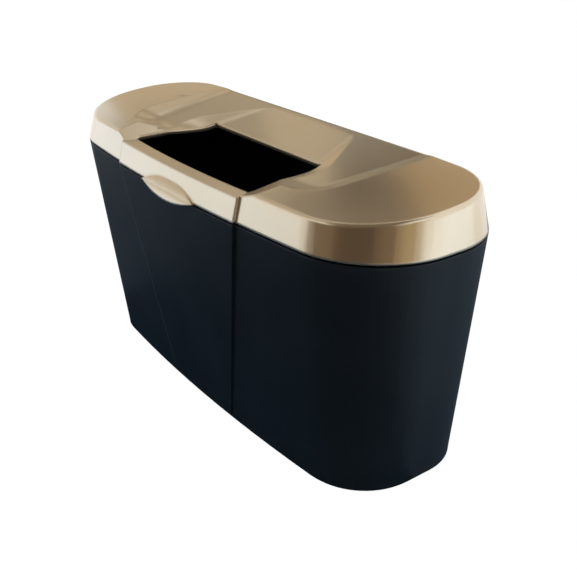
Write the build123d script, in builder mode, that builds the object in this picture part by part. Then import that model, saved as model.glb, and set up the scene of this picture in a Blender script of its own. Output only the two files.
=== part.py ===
"""Small car waste bin: a tapered moulded bin with a hinged lid that has a drop-in opening.

X runs along the bin, the bowed front faces -Y, the flat back faces +Y and the bin stands on Z = 0.
"""

import os
from math import atan2, cos, degrees, radians, sin, tan

from build123d import *

os.makedirs("parts", exist_ok=True)

# Plan at the rim, where bin and lid meet flush
rim_length = 252.0
rim_depth = 80.0
rim_bow = 8.5
rim_front_radius = 40.5
rim_back_radius = 35.5
corner_strips = 8

# Taper of the bin from the rim to the base, and the plan there
base_end_taper = 13.1
base_front_taper = 8.3
base_back_taper = 2.6
base_bow = 6.4
base_front_radius = 31.0
base_back_radius = 28.0
base_band = 2.0
base_bevel = 1.2

# Moulded bin: wall, floor and the lip that guides the lid
bin_wall = 2.4
seam_height = 111.5
shadow_gap = 1.0
floor_band = 4.5
floor_bevel = 3.5
lip_height = 2.0
lip_wall = 1.2
lip_root = 3.0

# Front panel, which stands proud of bin and lid and narrows towards the base
panel_width_seam = 102.0
panel_width_base = 53.0
panel_proud_seam = 1.3
panel_proud_base = 0.5

# Lean of the lid's skirt over its full rise, and the plan there
lid_rise = 22.0
lid_end_lean = 3.7
lid_front_lean = 4.5
lid_back_lean = 7.5
lid_bow = 7.2
lid_front_radius = 39.9
lid_back_radius = 28.0

# Domed top of the lid: an arc from front to back, carried along the length on a wide radius
dome_front_height = 13.3
dome_middle_height = 19.5
dome_back_height = 21.1
dome_length_radius = 2550.0

# Lid wall, its top edge and its seat on the lip
lid_wall = 2.0
lid_edge_radius = 1.6
lid_skin = 1.8
lid_clearance = 0.5
lid_seat_gap = 0.2

# Front land: the lowered stretch of the lid's front edge, with ramps up to the raised ends
land_height = 10.4
land_width_front = 104.0
land_width_back = 88.0
land_back = -27.0
land_ramp_angle = 72.0

# Dished pan round the opening
pan_front = -19.5
pan_front_height = 12.2
pan_back_height = 19.8
pan_width_front = 137.0
pan_width_back = 161.0
pan_corner_radius = 8.0
pan_wall_angle = 68.0
pan_blend_radius = 20.0

# Chute that falls to the opening and runs out into the pan before the back edge
chute_front_height = 12.2
chute_overlap = 10.0
chute_back = 30.0
chute_width_front = 88.0
chute_width_back = 62.0
chute_corner_radius = 6.0
chute_wall_angle = 72.0
chute_blend_radius = 20.0

# Opening for the waste
opening_front = -38.6
opening_bow = 2.0
opening_back = 3.6
opening_width_front = 101.0
opening_width_back = 86.0
opening_radius = 2.0

# Thumb tab under the front panel of the lid
tab_width = 46.0
tab_drop = 3.8
tab_proud = 1.0
tab_flare = 2.4
tab_root = 5.0
tab_clearance = 0.4

# Two barrel hinges on the back
hinge_spacing = 140.0
hinge_offset = 4.7
knuckle_radius = 3.4
lid_knuckle_length = 12.0
ear_length = 6.0
knuckle_gap = 0.4
ear_root = 11.0
arm_root = 4.0
pin_diameter = 3.0
pin_chamfer = 0.3
pin_running_clearance = 0.08
pin_press_clearance = 0.02
open_angle = 100.0
stop_length = 3.4
stop_clearance = 0.15

# Levels and places that follow from the sizes above
rim_back = rim_depth / 2
rim_chord = -rim_depth / 2
rim_front = rim_chord - rim_bow
panel_front = rim_front - panel_proud_seam
rim_height = seam_height - shadow_gap
lip_inset = lid_skin + lid_clearance
lip_inside = lip_inset + lip_wall
lid_step = lip_height + lid_seat_gap
front_slope = (lid_front_lean + rim_bow - lid_bow) / lid_rise
back_slope = lid_back_lean / lid_rise
pan_tilt = degrees(atan2(pan_back_height - pan_front_height, rim_back - pan_front))
chute_back_height = pan_front_height + (chute_back - pan_front) * tan(radians(pan_tilt))
chute_tilt = degrees(atan2(chute_back_height - chute_front_height, chute_back - opening_back))
hinge_centres = (-hinge_spacing / 2, hinge_spacing / 2)
ear_shift = (lid_knuckle_length + ear_length) / 2 + knuckle_gap
ear_centres = [x + side * ear_shift for x in hinge_centres for side in (-1, 1)]
pin_length = lid_knuckle_length + 2 * (knuckle_gap + ear_length)


def sloping_plane(y, height, tilt):
    """Plane through a line across the lid at this height above the seam, climbing towards the back."""
    return Plane(
        origin=(0, y, seam_height + height),
        x_dir=(1, 0, 0),
        z_dir=(0, -sin(radians(tilt)), cos(radians(tilt))),
    )


land_plane = sloping_plane(land_back, land_height, 0)
pan_plane = sloping_plane(pan_front, pan_front_height, pan_tilt)
chute_plane = sloping_plane(opening_back, chute_front_height, chute_tilt)
hinge_plane = Plane(origin=(0, rim_back + hinge_offset, seam_height), x_dir=(0, 1, 0), z_dir=(1, 0, 0))


def plan(height, insets, bow, front_radius, back_radius, outset):
    """Outline at one height: bowed front, straight ends, flat back and round corners in equal strips."""
    end_inset, front_inset, back_inset = insets
    half = rim_length / 2 - end_inset
    front = rim_chord + front_inset
    back = rim_back - back_inset
    with BuildSketch() as outline:
        with BuildLine():
            ThreePointArc((-half, front), (0, front - bow), (half, front))
            Polyline((half, front), (half, back), (-half, back), (-half, front))
        make_face()
        fillet(outline.vertices().group_by(Axis.Y)[0], front_radius)
        fillet(outline.vertices().group_by(Axis.Y)[-1], back_radius)
        if outset:
            offset(amount=outset)
    edges = list(outline.edges().filter_by(GeomType.LINE))
    for arc in outline.edges().filter_by(GeomType.CIRCLE):
        edges += [arc.trim(i / corner_strips, (i + 1) / corner_strips) for i in range(corner_strips)]
    return Face(Wire(edges)).moved(Location((0, 0, height)))


def rim_plan(height, outset=0.0):
    """Outline at the rim, which bin and lid share, grown or shrunk by the outset."""
    return plan(height, (0, 0, 0), rim_bow, rim_front_radius, rim_back_radius, outset)


def base_plan(height, outset=0.0):
    """Outline of the bin at its base, set in all round by the taper of the walls."""
    insets = (base_end_taper, base_front_taper, base_back_taper)
    return plan(height, insets, base_bow, base_front_radius, base_back_radius, outset)


def lid_plan(height, outset=0.0):
    """Outline that the lid's skirt would have at its full rise, set in all round by the lean."""
    insets = (lid_end_lean, lid_front_lean, lid_back_lean)
    return plan(height, insets, lid_bow, lid_front_radius, lid_back_radius, outset)


def lid_form(outset, drop):
    """Closed form of the lid: leaning skirt cut off by the domed top, which may lie lower by the drop."""
    with BuildPart() as form:
        loft([rim_plan(seam_height, outset), lid_plan(seam_height + lid_rise, outset)], ruled=True)
        with BuildSketch(Plane.YZ):
            with BuildLine():
                ThreePointArc(
                    (rim_front, seam_height + dome_front_height - drop),
                    (0, seam_height + dome_middle_height - drop),
                    (rim_back, seam_height + dome_back_height - drop),
                )
                Polyline(
                    (rim_back, seam_height + dome_back_height - drop),
                    (rim_back, seam_height + 2 * lid_rise),
                    (rim_front, seam_height + 2 * lid_rise),
                    (rim_front, seam_height + dome_front_height - drop),
                )
            make_face()
        ridge = Axis((0, 0, seam_height + dome_middle_height - dome_length_radius), (0, 1, 0))
        revolve(axis=ridge, mode=Mode.SUBTRACT)
    return form.part


def flare(angle, grow):
    """Sideways shift of a flared wall's foot when floor and wall both move out by the same amount."""
    return grow * tan(radians((90 - angle) / 2))


def scoop(grow):
    """Hollow of the lid's top: pan, chute and front land, or grown by the wall for the plainer underside."""
    with BuildPart() as pan:
        with BuildSketch(pan_plane.offset(-grow)) as pan_floor:
            with BuildLine():
                Polyline(
                    (-pan_width_front / 2, 0),
                    (pan_width_front / 2, 0),
                    (pan_width_back / 2, rim_back - pan_front + pan_corner_radius),
                    (-pan_width_back / 2, rim_back - pan_front + pan_corner_radius),
                    close=True,
                )
            make_face()
            fillet(pan_floor.vertices(), pan_corner_radius)
            if grow:
                offset(amount=flare(pan_wall_angle, grow))
        extrude(amount=lid_rise - pan_front_height + grow, taper=-pan_wall_angle)
        if not grow:
            fillet(pan.faces().filter_by(pan_plane).sort_by(Axis.Z)[0].edges(), pan_blend_radius)
    with BuildPart() as chute:
        with BuildSketch(chute_plane.offset(-grow)) as chute_floor:
            with BuildLine():
                Polyline(
                    (-chute_width_front / 2, -chute_overlap),
                    (chute_width_front / 2, -chute_overlap),
                    (chute_width_back / 2, rim_back - opening_back),
                    (-chute_width_back / 2, rim_back - opening_back),
                    close=True,
                )
            make_face()
            fillet(chute_floor.vertices(), chute_corner_radius)
            if grow:
                offset(amount=flare(chute_wall_angle, grow))
        extrude(amount=pan_back_height - chute_front_height + grow, taper=-chute_wall_angle)
        if not grow:
            fillet(chute.faces().filter_by(chute_plane).sort_by(Axis.Z)[0].edges(), chute_blend_radius)
    with BuildPart() as hollow:
        with BuildSketch(land_plane.offset(-grow)):
            with BuildLine():
                Polyline(
                    (-land_width_back / 2, 0),
                    (land_width_back / 2, 0),
                    (land_width_front / 2, panel_front - land_back),
                    (-land_width_front / 2, panel_front - land_back),
                    close=True,
                )
            make_face()
            if grow:
                offset(amount=flare(land_ramp_angle, grow))
        extrude(amount=lid_rise - land_height + grow, taper=-land_ramp_angle)
        add(pan.part)
        add(chute.part)
    return hollow.part


# Front panel of the bin: a thin skin that stands off the tapered front wall
with BuildPart() as bin_panel:
    loft([base_plan(base_band, panel_proud_base), rim_plan(rim_height, panel_proud_seam)], ruled=True)
    loft(
        [base_plan(base_band, -bin_wall / 2), rim_plan(rim_height, -bin_wall / 2)],
        ruled=True,
        mode=Mode.SUBTRACT,
    )
    with BuildSketch(Plane.XZ):
        with BuildLine():
            Polyline(
                (-panel_width_base / 2, base_band),
                (panel_width_base / 2, base_band),
                (panel_width_seam / 2, rim_height),
                (-panel_width_seam / 2, rim_height),
                close=True,
            )
        make_face()
    extrude(amount=rim_depth, mode=Mode.INTERSECT)

# Inside of the bin: a floor with a wide bevel, and walls that open towards the rim
with BuildPart() as bin_inside:
    add(base_plan(bin_wall, -bin_wall))
    extrude(amount=floor_band)
    chamfer(bin_inside.faces().sort_by(Axis.Z)[0].edges(), floor_bevel)
    loft([base_plan(bin_wall + floor_band, -bin_wall), rim_plan(rim_height, -bin_wall)], ruled=True)

# Bin: tapered tub with a flat base, a guiding lip inside the rim and hinge ears on the back
with BuildPart() as bin_body:
    add(base_plan(0))
    extrude(amount=base_band)
    chamfer(bin_body.faces().sort_by(Axis.Z)[0].edges(), base_bevel)
    loft([base_plan(base_band), rim_plan(rim_height)], ruled=True)
    add(bin_inside.part, mode=Mode.SUBTRACT)
    add(bin_panel.part)
    with BuildSketch(Plane.XY.offset(rim_height - lip_root)):
        add(rim_plan(0, -bin_wall / 2))
        add(rim_plan(0, -lip_inside), mode=Mode.SUBTRACT)
    extrude(amount=lip_root)
    with BuildSketch(Plane.XY.offset(rim_height)):
        add(rim_plan(0, -lip_inset))
        add(rim_plan(0, -lip_inside), mode=Mode.SUBTRACT)
    extrude(amount=shadow_gap + lip_height)
    with BuildSketch(*[hinge_plane.offset(x) for x in ear_centres]):
        Circle(knuckle_radius)
        with Locations((-hinge_offset - bin_wall / 2, -knuckle_radius - ear_root / 2)):
            Rectangle(bin_wall / 2, ear_root)
        make_hull()
        Rectangle(
            stop_length,
            hinge_offset - stop_clearance,
            rotation=90 - open_angle,
            align=(Align.MIN, Align.MIN),
        )
        Circle(pin_diameter / 2 + pin_press_clearance, mode=Mode.SUBTRACT)
    extrude(amount=ear_length / 2, both=True)

bin_body.part.label = "bin"
export_step(bin_body.part, "parts/bin.step")

# Inside of the lid: the outer form shrunk by the wall, with the scoop bulging down into it
with BuildPart() as lid_cavity:
    add(lid_form(-lid_wall, lid_wall))
    add(scoop(lid_wall), mode=Mode.SUBTRACT)
    add(rim_plan(seam_height, -lid_skin))
    extrude(amount=lid_step)

# Front panel of the lid, in line with the panel of the bin
with BuildPart() as lid_panel:
    add(lid_form(panel_proud_seam, 0))
    with BuildSketch(Plane.XY.offset(seam_height)):
        with Locations((0, rim_chord)):
            Rectangle(panel_width_seam, rim_depth, align=(Align.CENTER, Align.MAX))
    extrude(amount=lid_rise, mode=Mode.INTERSECT)

# Thumb tab: a lip that carries the leaning front of the panel on below the seam and flares out
with BuildPart() as tab:
    with BuildSketch(Plane.YZ):
        with BuildLine():
            ThreePointArc(
                (panel_front + front_slope * tab_root, seam_height + tab_root),
                (panel_front - tab_proud, seam_height),
                (panel_front - tab_flare, seam_height - tab_drop),
            )
            Polyline(
                (panel_front - tab_flare, seam_height - tab_drop),
                (panel_front - tab_clearance, seam_height - tab_drop),
                (panel_front - tab_clearance, seam_height),
                (panel_front + lid_wall, seam_height),
                (panel_front + lid_wall + front_slope * tab_root, seam_height + tab_root),
                (panel_front + front_slope * tab_root, seam_height + tab_root),
            )
        make_face()
    extrude(amount=tab_width / 2, both=True)
    with BuildSketch(Plane.XZ):
        with BuildLine():
            ThreePointArc(
                (-tab_width / 2, seam_height),
                (0, seam_height - tab_drop),
                (tab_width / 2, seam_height),
            )
            ThreePointArc(
                (tab_width / 2, seam_height),
                (0, seam_height + tab_root),
                (-tab_width / 2, seam_height),
            )
        make_face()
    extrude(amount=rim_depth, mode=Mode.INTERSECT)

# Outer form of the lid with its rounded top edge
with BuildPart() as lid_shape:
    add(lid_form(0, 0))
    fillet(lid_shape.faces().sort_by(Axis.Z)[-1].edges(), lid_edge_radius)

# Lid: moulded shell with the scoop, the opening, the thumb tab and the hinge arms
with BuildPart() as lid:
    add(lid_shape.part)
    add(lid_panel.part)
    add(scoop(0), mode=Mode.SUBTRACT)
    add(lid_cavity.part, mode=Mode.SUBTRACT)
    with BuildSketch(Plane.XY.offset(seam_height)) as opening:
        with BuildLine():
            ThreePointArc(
                (-opening_width_front / 2, opening_front),
                (0, opening_front - opening_bow),
                (opening_width_front / 2, opening_front),
            )
            Polyline(
                (opening_width_front / 2, opening_front),
                (opening_width_back / 2, opening_back),
                (-opening_width_back / 2, opening_back),
                (-opening_width_front / 2, opening_front),
            )
        make_face()
        fillet(opening.vertices(), opening_radius)
    extrude(amount=lid_rise, mode=Mode.SUBTRACT)
    add(tab.part)
    with BuildSketch(*[hinge_plane.offset(x) for x in hinge_centres]):
        with Locations((0, knuckle_radius / 2)):
            Circle(knuckle_radius / 2)
        for height in (lid_step + lid_wall, lid_step + lid_wall + arm_root):
            with Locations((-hinge_offset - back_slope * height - lid_wall / 2, height)):
                Circle(lid_wall / 4)
        make_hull()
        Circle(knuckle_radius)
        Circle(pin_diameter / 2 + pin_running_clearance, mode=Mode.SUBTRACT)
    extrude(amount=lid_knuckle_length / 2, both=True)

lid.part.label = "lid"
export_step(lid.part, "parts/lid.step")

# Hinge pins: steel pins held by the ears, on which the lid's knuckles turn
for name, centre in zip(("hinge_pin_left", "hinge_pin_right"), hinge_centres):
    with BuildPart() as pin:
        with BuildSketch(hinge_plane.offset(centre)):
            Circle(pin_diameter / 2)
        extrude(amount=pin_length / 2, both=True)
        chamfer(pin.faces().filter_by(Axis.X).edges(), pin_chamfer)
    pin.part.label = name
    export_step(pin.part, f"parts/{name}.step")
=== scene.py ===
import math

import bmesh
import bpy
from mathutils import Matrix, Vector

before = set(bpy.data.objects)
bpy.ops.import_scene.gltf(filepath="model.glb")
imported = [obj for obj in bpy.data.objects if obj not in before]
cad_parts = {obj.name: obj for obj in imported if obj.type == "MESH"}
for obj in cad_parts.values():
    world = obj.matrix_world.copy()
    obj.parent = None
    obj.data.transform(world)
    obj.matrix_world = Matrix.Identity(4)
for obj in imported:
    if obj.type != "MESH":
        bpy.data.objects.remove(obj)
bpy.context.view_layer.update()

# The bin: one moulding in blue-black plastic with a fine satin spark texture from the tool.
# The walls taper to the base, the front panel stands slightly proud and narrows downwards,
# and four ears on the back carry the hinge pins. Base and seam are scuffed by use.


class Wire:
    """A shader socket that takes part in sums, so that patterns read as plain arithmetic."""

    def __init__(self, tree, socket):
        self.tree = tree
        self.socket = socket

    def node(self, kind, settings=None, out=0, **inputs):
        """One output of a new node, its inputs given by name, or by number as i0, i1 and so on."""
        made = self.tree.nodes.new(kind)
        for name, value in (settings or {}).items():
            setattr(made, name, value)
        for name, value in inputs.items():
            key = int(name[1:]) if name[1:].isdigit() else name.replace("_", " ")
            target = made.inputs[key]
            if isinstance(value, Wire):
                self.tree.links.new(value.socket, target)
            else:
                target.default_value = value
        return Wire(self.tree, made.outputs[out])

    def sum(self, operation, first, second):
        return self.node("ShaderNodeMath", {"operation": operation}, i0=first, i1=second)

    def __add__(self, other):
        return self.sum("ADD", self, other)

    def __radd__(self, other):
        return self.sum("ADD", other, self)

    def __rsub__(self, other):
        return self.sum("SUBTRACT", other, self)

    def __mul__(self, other):
        return self.sum("MULTIPLY", self, other)

    def __rmul__(self, other):
        return self.sum("MULTIPLY", other, self)

    def __abs__(self):
        return self.node("ShaderNodeMath", {"operation": "ABSOLUTE"}, i0=self)

    def either(self, other):
        return self.sum("MAXIMUM", self, other)

    def between(self, low, high):
        """A smooth climb from 0 at the low value to 1 at the high one."""
        return self.node(
            "ShaderNodeMapRange",
            {"interpolation_type": "SMOOTHSTEP"},
            Value=self, From_Min=low, From_Max=high,
        )

    def tint(self, plain, full):
        """A colour that goes from plain at 0 to full at 1."""
        return self.node("ShaderNodeMix", {"data_type": "RGBA"}, out=2, i0=self, i6=plain, i7=full)

    def noise(self, scale, detail=2.0):
        return self.node("ShaderNodeTexNoise", Vector=self, Scale=scale, Detail=detail)

    def stretched(self, along_x, along_y, along_z):
        return self.node("ShaderNodeMapping", Vector=self, Scale=(along_x, along_y, along_z))


def finish_for(name):
    """A new material, its shader and a wire of the piece's own coordinates."""
    material = bpy.data.materials.new(name)
    material.use_nodes = True
    shader = material.node_tree.nodes["Principled BSDF"]
    start = Wire(material.node_tree, None)
    place = start.node("ShaderNodeTexCoord", out=3)
    return material, shader, place


def feed(shader, **inputs):
    """Links wires to a shader's sockets and sets plain values on them."""
    for name, value in inputs.items():
        target = shader.inputs[name.replace("_", " ")]
        if isinstance(value, Wire):
            value.tree.links.new(value.socket, target)
        else:
            target.default_value = value


def dress(node_name, material):
    """Gives a piece its finish."""
    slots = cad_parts[node_name].data.materials
    slots.clear()
    slots.append(material)


blue_black = (0.0030, 0.0066, 0.0112, 1)
blue_black_pale = (0.0040, 0.0083, 0.0138, 1)
scuffed = (0.020, 0.023, 0.028, 1)
# Painted highlight: the lighter colour painted on the front panel's left edge, standing in for the
# light that edge catches
panel_edge_highlight = (0.034, 0.036, 0.043, 1)
spark_grain = 2600.0
spark_depth = 0.00005
cloud_grain = 28.0
flow_grain = (70.0, 70.0, 9.0)
scratch_grain = (60.0, 60.0, 900.0)
seam_scuffs_rise = (0.1070, 0.1112)
base_scuffs_fade = (0.0012, 0.0060)
panel_half_at_base = 0.02605
panel_spread = 0.2258
panel_highlight_fade = (0.0003, 0.0010)
front_wall_fade = (-0.034, -0.030)
bin_edge_softness = 0.0008

satin, shader, place = finish_for("bin_satin_plastic")
across = place.node("ShaderNodeSeparateXYZ", out=0, Vector=place)
depth = place.node("ShaderNodeSeparateXYZ", out=1, Vector=place)
height = place.node("ShaderNodeSeparateXYZ", out=2, Vector=place)
spark = place.noise(spark_grain)
cloud = place.noise(cloud_grain, detail=4.0)
flow = place.stretched(*flow_grain).noise(1.0, detail=3.0)
scratches = place.stretched(*scratch_grain).noise(1.0, detail=4.0)
seam_rub = height.between(*seam_scuffs_rise)
base_rub = 1 - height.between(*base_scuffs_fade)
scuffs = seam_rub.either(base_rub) * scratches.between(0.52, 0.72)
# Painted highlight: a thin lighter line painted along the left edge of the front panel, on the
# front only, standing in for light caught by that edge
panel_edge = abs(across + (panel_half_at_base + panel_spread * height))
on_front = 1 - depth.between(*front_wall_fade)
painted_highlight = (1 - panel_edge.between(*panel_highlight_fade)) * on_front
shade = cloud.between(0.35, 0.7).tint(blue_black, blue_black_pale)
rubbed = (scuffs * 0.6).tint(shade, scuffed)
edge = place.node("ShaderNodeBevel", {"samples": 6}, Radius=bin_edge_softness)
texture = place.node(
    "ShaderNodeBump", Strength=0.25, Distance=spark_depth, Height=spark, Normal=edge
)
feed(
    shader,
    Base_Color=(painted_highlight * 0.7).tint(rubbed, panel_edge_highlight),
    Roughness=0.40 + 0.10 * cloud + 0.05 * flow + 0.12 * scuffs,
    Specular_IOR_Level=0.4,
    Normal=texture,
)
dress("bin", satin)

# The lid: one moulding in gold-tinted plastic under a glossy pearl coat, with a dished top,
# a chute to the opening, a thumb tab at the front and two hinge arms on the back. The coat
# has fine flakes in it and the slight ripple of sprayed lacquer.
champagne_deep = (0.69, 0.575, 0.405, 1)
champagne_pale = (0.74, 0.625, 0.455, 1)
flake_gold = (0.80, 0.72, 0.58, 1)
flake_grain = 3200.0
flake_depth = 0.00004
drift_grain = 18.0
ripple_grain = 240.0
ripple_depth = 0.0004
lid_edge_softness = 0.0014

pearl, shader, place = finish_for("lid_pearl_gold")
flake = place.node(
    "ShaderNodeTexVoronoi", {"feature": "F1"}, out=1, Vector=place, Scale=flake_grain
)
glint = place.node("ShaderNodeSeparateColor", Color=flake)
drift = place.noise(drift_grain, detail=3.0)
ripple = place.noise(ripple_grain, detail=1.0)
champagne = drift.between(0.3, 0.7).tint(champagne_deep, champagne_pale)
edge = place.node("ShaderNodeBevel", {"samples": 8}, Radius=lid_edge_softness)
lacquer = place.node(
    "ShaderNodeBump", Strength=0.04, Distance=ripple_depth, Height=ripple, Normal=edge
)
flaked = place.node(
    "ShaderNodeBump", Strength=0.015, Distance=flake_depth, Height=glint, Normal=lacquer
)
feed(
    shader,
    Base_Color=(glint.between(0.75, 1.0) * 0.18).tint(champagne, flake_gold),
    Metallic=0.92,
    Roughness=0.20 + 0.06 * drift + 0.02 * glint,
    Coat_Weight=0.5 + 0.2 * drift,
    Coat_Roughness=0.16,
    Normal=flaked,
)
dress("lid", pearl)

# The hinge pins: two lengths of drawn steel wire, chamfered at both ends. They are pressed
# into the ears of the bin, and the lid's knuckles turn on them.
steel_dull = (0.50, 0.50, 0.51, 1)
steel_bright = (0.62, 0.62, 0.63, 1)
drawn_grain = (60.0, 2400.0, 2400.0)

steel, shader, place = finish_for("pin_drawn_steel")
drawn = place.stretched(*drawn_grain).noise(1.0)
feed(
    shader,
    Base_Color=drawn.between(0.3, 0.7).tint(steel_dull, steel_bright),
    Metallic=1.0,
    Roughness=0.28 + 0.12 * drawn,
)
for side in ("left", "right"):
    dress("hinge_pin_" + side, steel)

# The studio: a wide pale floor, a white surround and two soft lamps. Plain cards, which show
# only in gloss, give lid and bin the wall, ceiling, room and table that they mirror.
scene = bpy.context.scene
scene.view_settings.view_transform = "Standard"


def seen_or_mirrored(start):
    """1 for the camera's view and what gloss and clear pieces show of it, 0 for other light."""
    path = start.node("ShaderNodeLightPath")
    mirrored = Wire(start.tree, path.socket.node.outputs["Is Glossy Ray"])
    through = Wire(start.tree, path.socket.node.outputs["Is Transmission Ray"])
    return path.either(mirrored).either(through)


white = (1, 1, 1, 1)
room_light = 0.45

world = bpy.data.worlds.new("studio_surround")
scene.world = world
world.use_nodes = True
shown = seen_or_mirrored(Wire(world.node_tree, None))
surround = world.node_tree.nodes["Background"]
feed(surround, Color=white, Strength=room_light + (1 - room_light) * shown)


def sheet_of(name, size, turn, material):
    """A flat stage sheet, placed by its mesh."""
    mesh = bpy.data.meshes.new(name)
    form = bmesh.new()
    scale = Matrix.Diagonal((size[0], size[1], 1, 1))
    bmesh.ops.create_grid(form, x_segments=1, y_segments=1, size=0.5, matrix=turn @ scale)
    form.to_mesh(mesh)
    form.free()
    mesh.materials.append(material)
    sheet = bpy.data.objects.new(name, mesh)
    scene.collection.objects.link(sheet)
    return sheet


floor_size = (8, 8)
floor_grey = (0.8, 0.8, 0.8, 1)
floor_glow = 1.02
floor_glow_share = 0.97

pale, shader, place = finish_for("floor_pale")
feed(shader, Base_Color=floor_grey, Roughness=0.9, Specular_IOR_Level=0.0)
tree = pale.node_tree
glow = place.node("ShaderNodeEmission", Color=white, Strength=floor_glow)
floor_look = place.node(
    "ShaderNodeMixShader",
    Fac=floor_glow_share * seen_or_mirrored(place),
    i1=Wire(tree, shader.outputs[0]),
    i2=glow,
)
tree.links.new(floor_look.socket, tree.nodes["Material Output"].inputs["Surface"])
sheet_of("floor", floor_size, Matrix(), pale)

aim_point = Vector((0, 0, 0.09))


def aim(azimuth, elevation, distance, target=aim_point):
    """The place of a lamp or a card round the object, facing it."""
    a, e = math.radians(azimuth), math.radians(elevation)
    back = Vector((math.sin(a) * math.cos(e), -math.cos(a) * math.cos(e), math.sin(e)))
    turn = (-back).to_track_quat("-Z", "Y").to_matrix().to_4x4()
    return Matrix.Translation(target + back * distance) @ turn


def lamp(name, place, size, power):
    """A softbox that lights the object and doesn't show in its gloss."""
    data = bpy.data.lights.new(name, "AREA")
    data.shape = "RECTANGLE"
    data.size, data.size_y = size
    data.energy = power
    softbox = bpy.data.objects.new(name, data)
    scene.collection.objects.link(softbox)
    softbox.matrix_world = place
    softbox.visible_glossy = False


lamp_distance = 1.2
lamp("front_softbox", aim(-50, 35, lamp_distance), (0.9, 0.7), 8.0)
lamp("side_softbox", aim(120, 30, lamp_distance), (0.7, 0.7), 6.0)


def card(name, place, size, colour):
    """A card that only shows in gloss: it casts no shadow and no light."""
    finish, _, start = finish_for(name)
    tree = finish.node_tree
    glow = start.node("ShaderNodeEmission", Color=(*colour, 1), Strength=1.0)
    tree.links.new(glow.socket, tree.nodes["Material Output"].inputs["Surface"])
    sheet = sheet_of(name, size, place, finish)
    sheet.visible_camera = False
    sheet.visible_shadow = False
    sheet.visible_diffuse = False
    sheet.visible_transmission = False


# Wall behind the object, which the top of the lid mirrors
wall_distance = 1.0
pan_crest = Vector((-0.08, 0.02, 0.128))
card("wall_card", aim(247, 31, wall_distance), (0.36, 0.43), (0.36, 0.315, 0.24))
card("wall_card_dark", aim(231.5, 36, wall_distance), (0.27, 0.32), (0.06, 0.036, 0.012))
card("wall_card_crest", aim(231.5, 36, 0.3, pan_crest), (0.08, 0.095), (0.60, 0.52, 0.40))
card("wall_card_gold", aim(214, 31, wall_distance), (0.30, 0.43), (0.40, 0.27, 0.13))
card("wall_card_low", aim(231, 8, wall_distance), (0.30, 0.62), (0.27, 0.23, 0.165))
card("wall_card_far", aim(246, 11, wall_distance), (0.25, 0.30), (0.56, 0.45, 0.30))
card("wall_card_high", aim(226, 53, wall_distance), (0.28, 0.34), (0.62, 0.55, 0.45))

# Ceiling, which the rounded edges and the dished pan mirror
card("ceiling_card", aim(40, 90, 0.9), (0.9, 0.7), (0.15, 0.115, 0.07))
card("ceiling_card_front", aim(36, 48, 0.8), (0.9, 0.9), (0.13, 0.095, 0.055))
card("ceiling_card_left", aim(290, 44, 0.9), (0.95, 0.75), (0.58, 0.53, 0.45))

# Room in front, which the lid's skirt mirrors round its corner
room_distance = 0.6
card("room_card_left", aim(2, 8, room_distance), (0.45, 0.46), (0.17, 0.115, 0.065))
card("room_card_dark", aim(38, 8, 0.58), (0.44, 0.46), (0.07, 0.036, 0.012))
card("room_card_right", aim(66, 8, room_distance), (0.22, 0.46), (0.15, 0.095, 0.045))
card("room_card_gold", aim(86, 8, room_distance), (0.22, 0.46), (0.42, 0.32, 0.17))


def lying(across, depth, layer):
    """The place of a card on the floor, the layers a card's thickness apart."""
    card_thickness = 0.0006
    return Matrix.Translation((across, depth, layer * card_thickness))


# Table and bright surfaces beside it, which the walls of the bin mirror
card("table_card", lying(-0.05, -0.10, 1), (0.9, 0.9), (0.10, 0.14, 0.18))
card("table_card_dark", lying(0.12, -0.305, 2), (0.50, 0.61), (0.010, 0.036, 0.062))
card("table_card_right", lying(0.27, 0.20, 2), (0.26, 0.36), (0.20, 0.28, 0.33))
card("bounce_card_right", lying(0.97, 0.69, 3), (1.2, 1.5), (1.25, 1.38, 1.56))
card("bounce_card_left", aim(-54, -4, 0.8), (0.72, 0.20), (1.08, 1.20, 1.38))
card("wall_card_left", aim(-57, 13, 0.9), (0.50, 0.22), (0.55, 0.47, 0.36))

# The camera stands where the photograph was taken from, in front of the object's right end
# and above it, slightly rolled. Its angles and place were fitted to the object's outline.
picture_width = 577
focal_length = 852.3806
yaw, pitch, roll = -0.94695, 0.44905, -0.01145
viewpoint = Vector((0.32186, -0.21601, 0.23667))

camera = bpy.data.cameras.new("camera")
camera.sensor_width = 36.0
camera.lens = focal_length * camera.sensor_width / picture_width
camera.clip_start = 0.01
stand = bpy.data.objects.new("camera", camera)
scene.collection.objects.link(stand)
scene.camera = stand
ahead = math.cos(pitch)
forward = Vector((math.sin(yaw) * ahead, math.cos(yaw) * ahead, -math.sin(pitch)))
level = Vector((math.cos(yaw), -math.sin(yaw), 0))
above = level.cross(forward)
right = math.cos(roll) * level + math.sin(roll) * above
upward = -math.sin(roll) * level + math.cos(roll) * above
turn = Matrix((right, upward, -forward)).transposed().to_4x4()
stand.matrix_world = Matrix.Translation(viewpoint) @ turn
